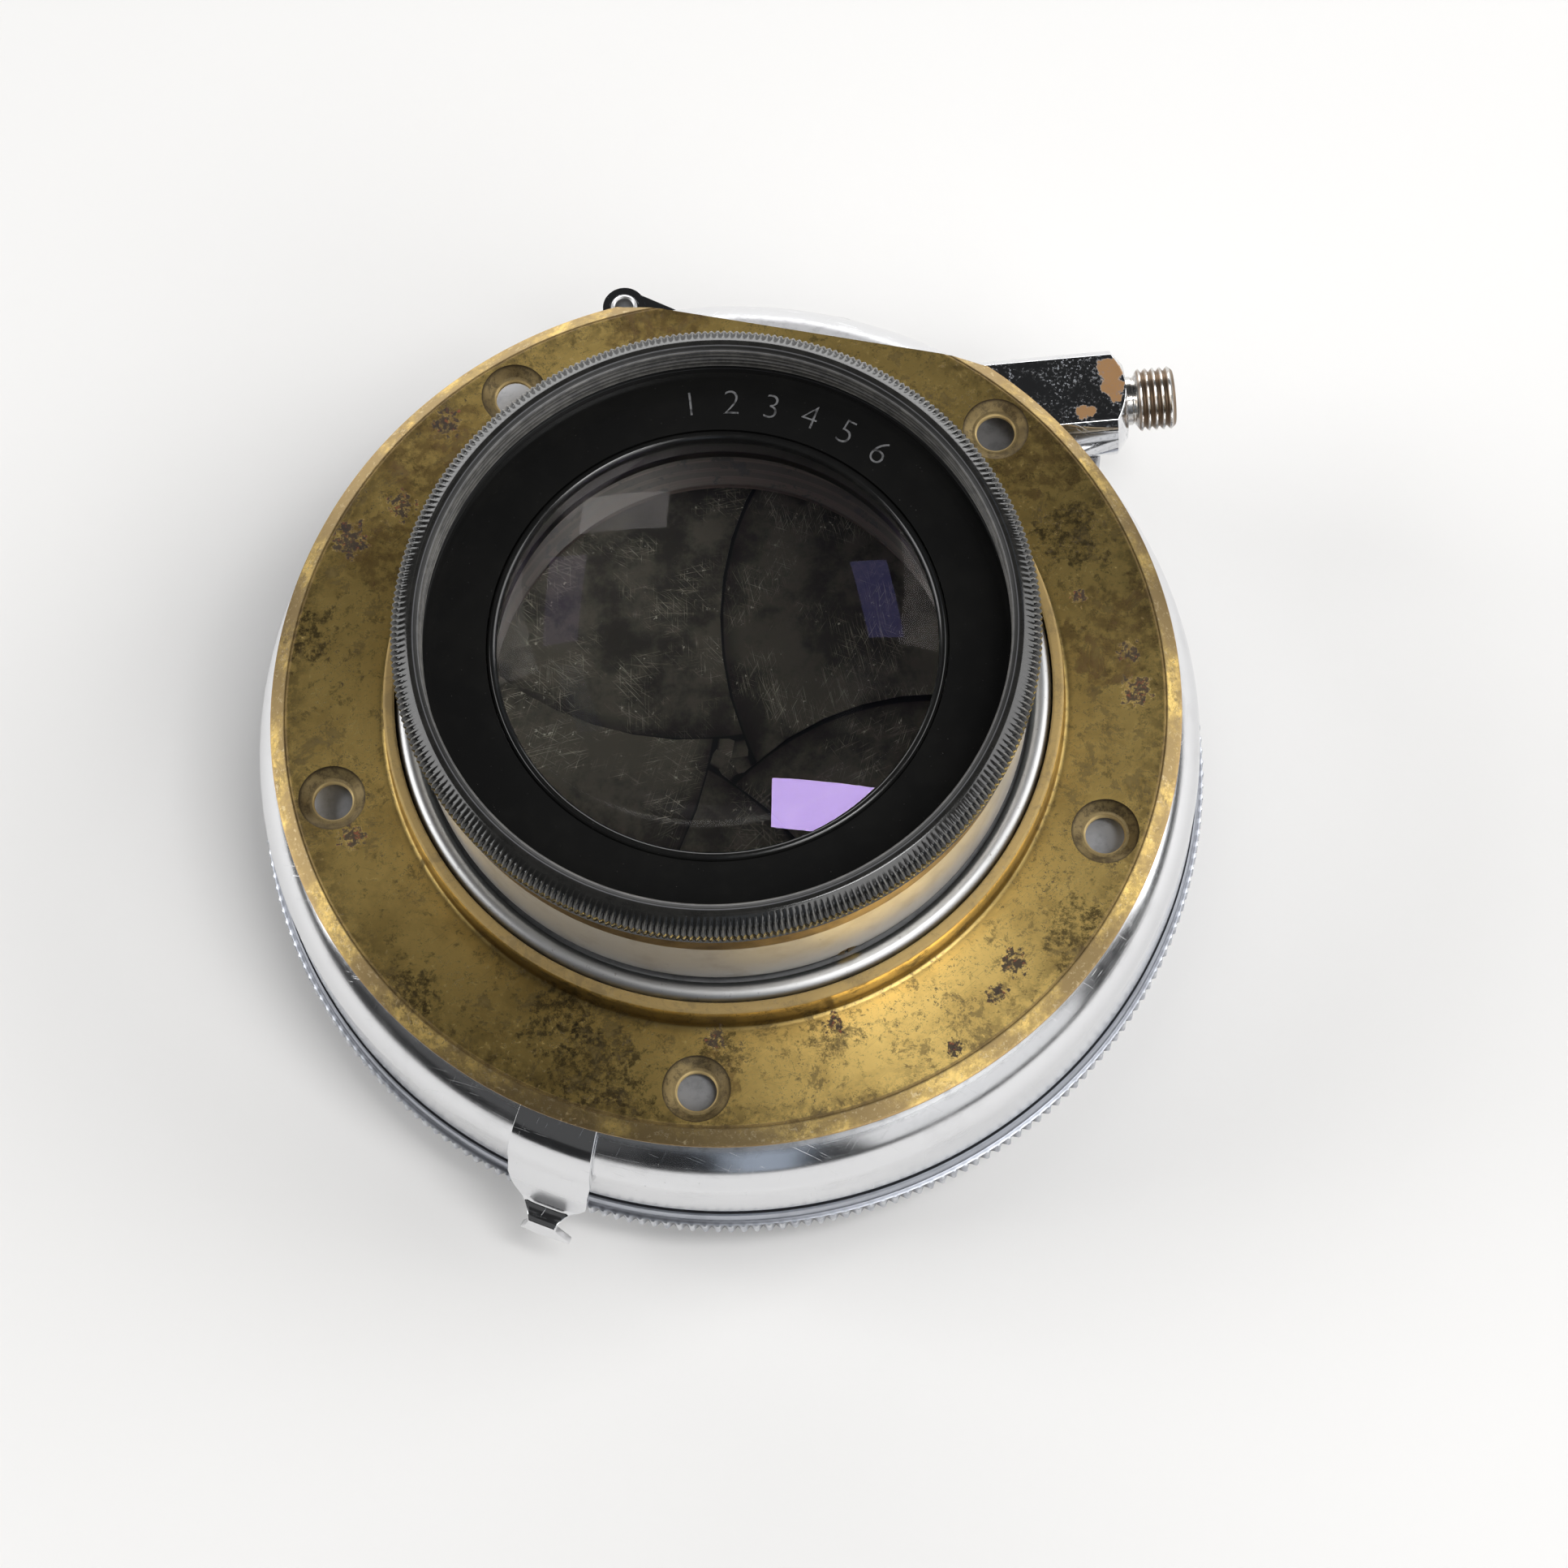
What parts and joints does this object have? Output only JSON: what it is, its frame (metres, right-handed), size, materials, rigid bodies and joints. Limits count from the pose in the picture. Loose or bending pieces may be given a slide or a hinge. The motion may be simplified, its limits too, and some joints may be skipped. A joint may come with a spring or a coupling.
{
  "type": "lens in rim-set leaf shutter",
  "caption": "Round photographic lens in a chromed leaf shutter with knurled speed ring, aperture and cocking levers, cable release socket and brass mounting flange.",
  "frame": {"origin": "middle of the footprint, on the surface the front rim stands on; the optical axis runs along Z at x = 0, y = -1.6 mm", "axes": "+Z along the optical axis from the front cell to the rear cell, +X towards the cable release socket"},
  "size_m": [0.09, 0.0932, 0.0483],
  "materials": {
    "tarnished_brass": "turned brass, darkened and spotted with age",
    "polished_chrome": "bright chrome plate, worn at edges",
    "satin_nickel": "satin nickel plate",
    "black_enamel": "black enamel on brass, worn on the knurls",
    "blackened_steel": "blackened spring steel with fine scratches",
    "coated_glass": "polished optical glass with a single coating"
  },
  "bodies": {
    "shutter_body": {"mounting_flange": "tarnished_brass", "barrel_set_screw": "tarnished_brass", "rear_cell_mount": "tarnished_brass", "front_inner_retainer": "tarnished_brass", "shutter_housing": "polished_chrome", "front_plate": "polished_chrome", "cable_release_socket": "polished_chrome", "cable_release_nipple": "polished_chrome", "flange_retaining_ring": "satin_nickel", "rear_cell_barrel": "satin_nickel", "rear_cell_rim": "black_enamel", "rear_lens_retainer": "black_enamel", "front_cell_barrel": "black_enamel", "front_cell_rim": "black_enamel", "front_lens_retainer": "black_enamel", "iris_plate": "black_enamel", "shutter_plate": "black_enamel", "face_cover": "black_enamel", "release_lever_pin": "blackened_steel", "iris_leaf_pin_1": "blackened_steel", "iris_leaf_pin_2": "blackened_steel", "iris_leaf_pin_3": "blackened_steel", "iris_leaf_pin_4": "blackened_steel", "iris_leaf_pin_5": "blackened_steel", "iris_leaf_pin_6": "blackened_steel", "iris_leaf_pin_7": "blackened_steel", "iris_leaf_pin_8": "blackened_steel", "shutter_leaf_pin_1": "blackened_steel", "shutter_leaf_pin_2": "blackened_steel", "shutter_leaf_pin_3": "blackened_steel", "shutter_leaf_pin_4": "blackened_steel", "shutter_leaf_pin_5": "blackened_steel", "rear_lens_outer": "coated_glass", "rear_lens_inner": "coated_glass", "front_lens_outer": "coated_glass", "front_lens_inner": "coated_glass"},
    "speed_ring": {"speed_ring": "polished_chrome"},
    "aperture_lever": {"aperture_lever": "polished_chrome", "aperture_lever_stud": "polished_chrome", "iris_ring": "blackened_steel"},
    "leaf_drive_ring": {"leaf_drive_ring": "blackened_steel"},
    "release_lever": {"release_lever": "polished_chrome"},
    "cable_release_plunger": {"cable_release_plunger": "blackened_steel"},
    "cocking_lever": {"cocking_lever": "polished_chrome"},
    "iris_leaf_1": {"iris_leaf_1": "blackened_steel"},
    "iris_leaf_2": {"iris_leaf_2": "blackened_steel"},
    "iris_leaf_3": {"iris_leaf_3": "blackened_steel"},
    "iris_leaf_4": {"iris_leaf_4": "blackened_steel"},
    "iris_leaf_5": {"iris_leaf_5": "blackened_steel"},
    "iris_leaf_6": {"iris_leaf_6": "blackened_steel"},
    "iris_leaf_7": {"iris_leaf_7": "blackened_steel"},
    "iris_leaf_8": {"iris_leaf_8": "blackened_steel"},
    "shutter_leaf_1": {"shutter_leaf_1": "blackened_steel"},
    "shutter_leaf_2": {"shutter_leaf_2": "blackened_steel"},
    "shutter_leaf_3": {"shutter_leaf_3": "blackened_steel"},
    "shutter_leaf_4": {"shutter_leaf_4": "blackened_steel"},
    "shutter_leaf_5": {"shutter_leaf_5": "blackened_steel"}
  },
  "joints": [
    {"name": "speed_ring_turn", "type": "hinge", "parent": "shutter_body", "child": "speed_ring", "pos_m": [0, -0.0016, 0.0095], "axis": [0, 0, 1], "range_deg": [-110, 110]},
    {"name": "aperture_lever_turn", "type": "hinge", "parent": "shutter_body", "child": "aperture_lever", "pos_m": [0, -0.0016, 0.0242], "axis": [0, 0, 1], "range_deg": [0, 50]},
    {"name": "cocking_lever_turn", "type": "hinge", "parent": "shutter_body", "child": "cocking_lever", "pos_m": [0, -0.0016, 0.01285], "axis": [0, 0, 1], "range_deg": [0, 28], "stiffness_Nm_per_rad": 0.04, "springref_deg": -20.05},
    {"name": "leaf_drive_turn", "type": "hinge", "parent": "shutter_body", "child": "leaf_drive_ring", "pos_m": [0, -0.0016, 0.017], "axis": [0, 0, 1], "range_deg": [0, 25], "stiffness_Nm_per_rad": 0.02, "springref_deg": -20.05},
    {"name": "release_lever_press", "type": "hinge", "parent": "shutter_body", "child": "release_lever", "pos_m": [0.0338, 0.0107, 0.0148], "axis": [0, 0, 1], "range_deg": [0, 7]},
    {"name": "cable_plunger_push", "type": "slide", "parent": "shutter_body", "child": "cable_release_plunger", "axis": [-1, 0, 0], "range_m": [0, 0.002]},
    {"name": "shutter_leaf_1_swing", "type": "hinge", "parent": "shutter_body", "child": "shutter_leaf_1", "pos_m": [0.00059, 0.0324, 0.02039], "axis": [0, 0, 1], "range_deg": [-40, 0]},
    {"name": "shutter_leaf_2_swing", "type": "hinge", "parent": "shutter_body", "child": "shutter_leaf_2", "pos_m": [0.03251, 0.00834, 0.02007], "axis": [0, 0, 1], "range_deg": [-40, 0]},
    {"name": "shutter_leaf_3_swing", "type": "hinge", "parent": "shutter_body", "child": "shutter_leaf_3", "pos_m": [0.0195, -0.02945, 0.01975], "axis": [0, 0, 1], "range_deg": [-40, 0]},
    {"name": "shutter_leaf_4_swing", "type": "hinge", "parent": "shutter_body", "child": "shutter_leaf_4", "pos_m": [-0.02046, -0.02875, 0.01943], "axis": [0, 0, 1], "range_deg": [-40, 0]},
    {"name": "shutter_leaf_5_swing", "type": "hinge", "parent": "shutter_body", "child": "shutter_leaf_5", "pos_m": [-0.03215, 0.00947, 0.01911], "axis": [0, 0, 1], "range_deg": [-40, 0]},
    {"name": "iris_leaf_1_swing", "type": "hinge", "parent": "shutter_body", "child": "iris_leaf_1", "pos_m": [0.0288, -0.0016, 0.02352], "axis": [0, 0, 1], "range_deg": [-40, 0]},
    {"name": "iris_leaf_2_swing", "type": "hinge", "parent": "shutter_body", "child": "iris_leaf_2", "pos_m": [0.02037, 0.01877, 0.02324], "axis": [0, 0, 1], "range_deg": [-40, 0]},
    {"name": "iris_leaf_3_swing", "type": "hinge", "parent": "shutter_body", "child": "iris_leaf_3", "pos_m": [0, 0.0272, 0.02297], "axis": [0, 0, 1], "range_deg": [-40, 0]},
    {"name": "iris_leaf_4_swing", "type": "hinge", "parent": "shutter_body", "child": "iris_leaf_4", "pos_m": [-0.02037, 0.01877, 0.0227], "axis": [0, 0, 1], "range_deg": [-40, 0]},
    {"name": "iris_leaf_5_swing", "type": "hinge", "parent": "shutter_body", "child": "iris_leaf_5", "pos_m": [-0.0288, -0.0016, 0.02244], "axis": [0, 0, 1], "range_deg": [-40, 0]},
    {"name": "iris_leaf_6_swing", "type": "hinge", "parent": "shutter_body", "child": "iris_leaf_6", "pos_m": [-0.02037, -0.02196, 0.02217], "axis": [0, 0, 1], "range_deg": [-40, 0]},
    {"name": "iris_leaf_7_swing", "type": "hinge", "parent": "shutter_body", "child": "iris_leaf_7", "pos_m": [0, -0.0304, 0.0219], "axis": [0, 0, 1], "range_deg": [-40, 0]},
    {"name": "iris_leaf_8_swing", "type": "hinge", "parent": "shutter_body", "child": "iris_leaf_8", "pos_m": [0.02037, -0.02196, 0.02162], "axis": [0, 0, 1], "range_deg": [-40, 0]}
  ],
  "couplings": [
    {"joint": "release_lever_press", "follows": "leaf_drive_turn", "ratio": 0.28},
    {"joint": "cable_plunger_push", "follows": "leaf_drive_turn", "m_per_rad": 0.004583},
    {"joint": "shutter_leaf_1_swing", "follows": "leaf_drive_turn", "ratio": -1.6},
    {"joint": "shutter_leaf_2_swing", "follows": "leaf_drive_turn", "ratio": -1.6},
    {"joint": "shutter_leaf_3_swing", "follows": "leaf_drive_turn", "ratio": -1.6},
    {"joint": "shutter_leaf_4_swing", "follows": "leaf_drive_turn", "ratio": -1.6},
    {"joint": "shutter_leaf_5_swing", "follows": "leaf_drive_turn", "ratio": -1.6},
    {"joint": "iris_leaf_1_swing", "follows": "aperture_lever_turn", "ratio": -0.8},
    {"joint": "iris_leaf_2_swing", "follows": "aperture_lever_turn", "ratio": -0.8},
    {"joint": "iris_leaf_3_swing", "follows": "aperture_lever_turn", "ratio": -0.8},
    {"joint": "iris_leaf_4_swing", "follows": "aperture_lever_turn", "ratio": -0.8},
    {"joint": "iris_leaf_5_swing", "follows": "aperture_lever_turn", "ratio": -0.8},
    {"joint": "iris_leaf_6_swing", "follows": "aperture_lever_turn", "ratio": -0.8},
    {"joint": "iris_leaf_7_swing", "follows": "aperture_lever_turn", "ratio": -0.8},
    {"joint": "iris_leaf_8_swing", "follows": "aperture_lever_turn", "ratio": -0.8}
  ]
}
